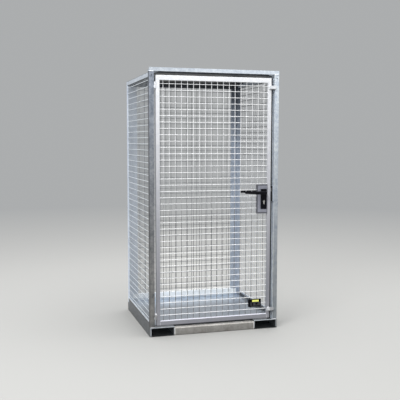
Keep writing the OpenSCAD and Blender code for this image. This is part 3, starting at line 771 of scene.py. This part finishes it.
def frame_welds():
    """Beads round the front posts' ends, and on the sill's ends, post leaves, gussets and rear bars."""
    form = bmesh.new()
    for post, inner in ((POST_LEFT, HIGH), (POST_RIGHT, LOW)):
        low, high = post
        seam(form, post, {Y: FRONT, Z: low[Z]}, 2.6 * MM)
        seam(form, post, {Y: FRONT, Z: high[Z]}, 3.0 * MM)
        seam(form, post, {X: post[inner][X], Z: low[Z]}, 2.6 * MM)
        seam(form, post, {Y: high[Y], Z: low[Z] + 4 * MM}, 2.6 * MM)
    for end in SILL:
        seam(form, SILL, {X: end[X], Y: FRONT}, 2.4 * MM)
    for leaf in ("hinge_post_lower", "hinge_post_upper"):
        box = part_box(leaf)
        seam(form, box, {X: box[LOW][X], Y: FRONT}, 3.0 * MM)
    for gusset in ("roof_gusset_left", "roof_gusset_right"):
        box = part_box(gusset)
        seam(form, box, {Y: box[LOW][Y], Z: box[HIGH][Z]}, 1.8 * MM)
    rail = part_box("rear_bottom_rail")
    for bar in ("rear_bar_left", "rear_bar_right"):
        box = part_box(bar)
        seam(form, box, {Y: box[LOW][Y], Z: rail[HIGH][Z]}, 2.2 * MM)
    add_piece("frame_welds", form, "zinc_weld", "zinc_frame", "cage")


def door_welds():
    """Beads at the door frame's corners, round the stop lugs and at the door leaves."""
    form = bmesh.new()
    for stile_x in (STILE_HINGE[HIGH][X], STILE_LOCK[LOW][X]):
        for rail, inner in (("door_rail_bottom", HIGH), ("door_rail_top", LOW)):
            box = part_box(rail)
            for y in (box[LOW][Y] + 0.6 * MM, box[HIGH][Y] - 0.6 * MM):
                seam(form, box, {X: stile_x, Y: y}, 1.5 * MM)
            seam(form, box, {X: stile_x, Z: box[inner][Z]}, 3.0 * MM)
    for lug in STOP_LUGS:
        low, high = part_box(lug)
        stile_edge = STILE_LOCK[HIGH][X] - BEAD_INSET
        for z in (low[Z], high[Z]):
            bead(form, (low[X], high[Y], z), (stile_edge, high[Y], z), 3.6 * MM)
        bead(form, (low[X], high[Y], low[Z]), (low[X], high[Y], high[Z]), 4.0 * MM)
    for leaf in ("hinge_door_lower", "hinge_door_upper"):
        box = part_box(leaf)
        seam(form, box, {X: box[HIGH][X], Y: FRONT}, 3.0 * MM)
    add_piece("door_welds", form, "zinc_weld", "zinc_door", "door")


def wires_of(panel, ends, spaced, deep):
    """Places of a panel's wires along the axis spaced, and their depth, read at the wires' low ends."""
    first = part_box(panel)[LOW][ends] + WIRE_END
    points = [vertex.co for vertex in frame["nodes"][panel].data.vertices if vertex.co[ends] < first]
    places = sorted(point[spaced] for point in points)
    groups = [[places[0]]]
    for place in places[1:]:
        if place - groups[-1][-1] > WIRE_GAP:
            groups.append([])
        groups[-1].append(place)
    depths = [point[deep] for point in points]
    return [(group[0] + group[-1]) / 2 for group in groups], (min(depths) + max(depths)) / 2


def mesh_welds(name, panel, wide, deep, finish, body):
    """A spot weld at each crossing of a panel, and one at each end of each wire.

    wide is the axis that the level wires run along, deep the one through the panel.
    """
    form = bmesh.new()
    levels, level_depth = wires_of(panel, wide, Z, deep)
    uprights, upright_depth = wires_of(panel, Z, wide, deep)
    low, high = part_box(panel)

    def weld(place, depth, z, radius, flat):
        at = Vector((0.0, 0.0, z))
        at[wide] = place
        at[deep] = depth
        stretch = [1.0, 1.0, 1.0, 1.0]
        stretch[deep] = flat
        matrix = Matrix.Translation(at) @ Matrix.Diagonal(stretch)
        bmesh.ops.create_icosphere(form, subdivisions=1, radius=radius, matrix=matrix)

    for z in levels:
        for place in uprights:
            weld(place, (level_depth + upright_depth) / 2, z, NUGGET_R, NUGGET_FLAT)
        for end in (low[wide] + END_WELD_IN, high[wide] - END_WELD_IN):
            weld(end, level_depth, z, END_WELD_R, END_WELD_FLAT)
    for place in uprights:
        for end in (low[Z] + END_WELD_IN, high[Z] - END_WELD_IN):
            weld(place, upright_depth, end, END_WELD_R, END_WELD_FLAT)
    add_piece(name, form, finish, "zinc_wire", body)


# Print on the label: two plain dark blocks, each by its share of the field's width, its width and its height
BLOCKS = (
    (0.20, 13 * MM, 26 * MM),
    (0.62, 20 * MM, 15 * MM),
)
BLOCK_T = 0.3 * MM
BLOCK_ROUND = 4 * MM
CORNER_STEPS = 4


def block_outline(x, y, z, width, height):
    """A rectangle with round corners, each corner by its side, its end and the angle that it starts at."""
    outline = []
    for side, end, first in ((1, 1, 0), (-1, 1, 90), (-1, -1, 180), (1, -1, 270)):
        corner_x = x + side * (width / 2 - BLOCK_ROUND)
        corner_z = z + end * (height / 2 - BLOCK_ROUND)
        for step in range(CORNER_STEPS + 1):
            angle = math.radians(first + 90 * step / CORNER_STEPS)
            outline.append(Vector((corner_x + BLOCK_ROUND * math.cos(angle), y,
                                   corner_z + BLOCK_ROUND * math.sin(angle))))
    return outline


def label_print():
    """Two plain blocks on the sign's field."""
    low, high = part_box("label_field")
    middle_z = (low[Z] + high[Z]) / 2
    form = bmesh.new()
    for share, width, height in BLOCKS:
        x = low[X] + share * (high[X] - low[X])
        skin(form, [block_outline(x, y, middle_z, width, height) for y in (low[Y], low[Y] - BLOCK_T)])
    add_piece("label_print", form, "label_black", "label_black", "door")


# Screws of the inner long plate, with their profile from the plate out and into the socket
SCREW_R = 4.5 * MM
SOCKET_R = 2.0 * MM
SCREW_H = 2.2 * MM
SCREW_OVER_FOOT = 9 * MM
SCREW_UNDER_HEAD = 8 * MM
SCREW_POINTS = 24
SCREW_PROFILE = ((SCREW_R, -0.2), (SCREW_R, 0.25), (0.88 * SCREW_R, 0.7), (0.62 * SCREW_R, 0.95),
                 (SOCKET_R, 1.0), (0.96 * SOCKET_R, 0.2))


def plate_screws():
    """Two round-headed socket screws, above and below the furniture on the plate inside the door."""
    low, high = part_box("lock_plate_inner")
    middle_x = (low[X] + high[X]) / 2
    form = bmesh.new()
    for z in (low[Z] + SCREW_OVER_FOOT, high[Z] - SCREW_UNDER_HEAD):
        rings = []
        for radius, share in SCREW_PROFILE:
            centre = Vector((middle_x, high[Y] + share * SCREW_H, z))
            rings.append(circle(centre, radius, ACROSS, UP, SCREW_POINTS))
        skin(form, rings)
    add_piece("plate_screws", form, "lock_nickel", "lock_nickel", "door")


def make_camera():
    """The camera stands upright, turned by its yaw, tipped down, and rolled a little."""
    camera = bpy.data.cameras.new("camera")
    camera.lens = LENS_MM
    camera.sensor_width = SENSOR_MM
    camera.shift_x, camera.shift_y = SHIFT
    camera.clip_end = SEES_TO
    holder = bpy.data.objects.new("camera", camera)
    bpy.context.scene.collection.objects.link(holder)
    turn = Matrix.Rotation(math.radians(-CAMERA_YAW), 4, "Z")
    tilt = Matrix.Rotation(math.radians(90.0 - CAMERA_DOWN), 4, "X")
    roll = Matrix.Rotation(math.radians(CAMERA_ROLL), 4, "Z")
    holder.matrix_world = Matrix.Translation(CAMERA_AT) @ turn @ tilt @ roll
    bpy.context.scene.camera = holder


def make_stage():
    """A round pale floor whose rim fades into the backdrop's own light."""
    mesh = bpy.data.meshes.new("floor")
    form = bmesh.new()
    bmesh.ops.create_circle(form, cap_ends=True, segments=96, radius=FLOOR_RADIUS)
    form.to_mesh(mesh)
    form.free()
    floor = bpy.data.objects.new("floor", mesh)
    bpy.context.scene.collection.objects.link(floor)
    paint = Finish("floor_paint", {"Roughness": 0.9, "Base Color": rgb(*FLOOR_TONE)})
    reach = paint.add("ShaderNodeVectorMath", {"operation": "LENGTH"}, {0: paint.place}, output="Value")
    glow = paint.add("ShaderNodeEmission", None, {"Color": rgb(*BACKDROP_TONE), "Strength": 1.0})
    body = Value(paint, paint.shader.outputs[0])
    blend = paint.add("ShaderNodeMixShader", None, {0: reach.clamped(*FLOOR_FADE), 1: body, 2: glow})
    paint.join(blend, paint.nodes["Material Output"].inputs["Surface"])
    mesh.materials.append(paint.material)


def make_world():
    """The studio's light: bright from above, weaker from the sides, and a pale backdrop for the camera."""
    world = bpy.data.worlds.new("studio")
    studio = Tree(world)
    direction = studio.add("ShaderNodeTexCoord", output="Generated")
    height = studio.add("ShaderNodeSeparateXYZ", None, {0: direction}, output=Z)
    colour = studio.mix(rgb(*SIDE_LIGHT), rgb(*TOP_LIGHT), height.clamped(0.0, TOP_LIGHT_FROM))
    light = studio.add("ShaderNodeBackground", None, {"Color": colour, "Strength": LIGHT_STRENGTH})
    plain = studio.add("ShaderNodeBackground", None, {"Color": rgb(*BACKDROP_TONE), "Strength": 1.0})
    seen = studio.add("ShaderNodeLightPath", output="Is Camera Ray")
    both = studio.add("ShaderNodeMixShader", None, {0: seen, 1: light, 2: plain})
    studio.join(both, studio.nodes["World Output"].inputs["Surface"])
    bpy.context.scene.world = world
    bpy.context.scene.view_settings.view_transform = "Standard"


def make_lights():
    """Square soft lamps, each turned to the same point."""
    for name, at, side, power in LAMPS:
        light = bpy.data.lights.new(name, "AREA")
        light.shape = "SQUARE"
        light.size = side
        light.energy = power
        holder = bpy.data.objects.new(name, light)
        holder.location = at
        holder.rotation_mode = "QUATERNION"
        holder.rotation_quaternion = (LAMPS_AIM - Vector(at)).to_track_quat("-Z", "Y")
        bpy.context.scene.collection.objects.link(holder)


make_camera()
make_stage()
make_world()
make_lights()
dress_cad()
make_lever("lever_grip_outer", "lever_outer", -1)
make_lever("lever_grip_inner", "lever_inner", 1)
frame_welds()
door_welds()
mesh_welds("door_mesh_welds", "door_mesh", X, Y, "zinc_wire_door", "door")
mesh_welds("left_mesh_welds", "mesh_left", Y, X, "zinc_wire_left", "cage")
mesh_welds("right_mesh_welds", "mesh_right", Y, X, "zinc_wire_right", "cage")
mesh_welds("rear_mesh_welds", "mesh_rear", X, Y, "zinc_wire_rear", "cage")
label_print()
plate_screws()
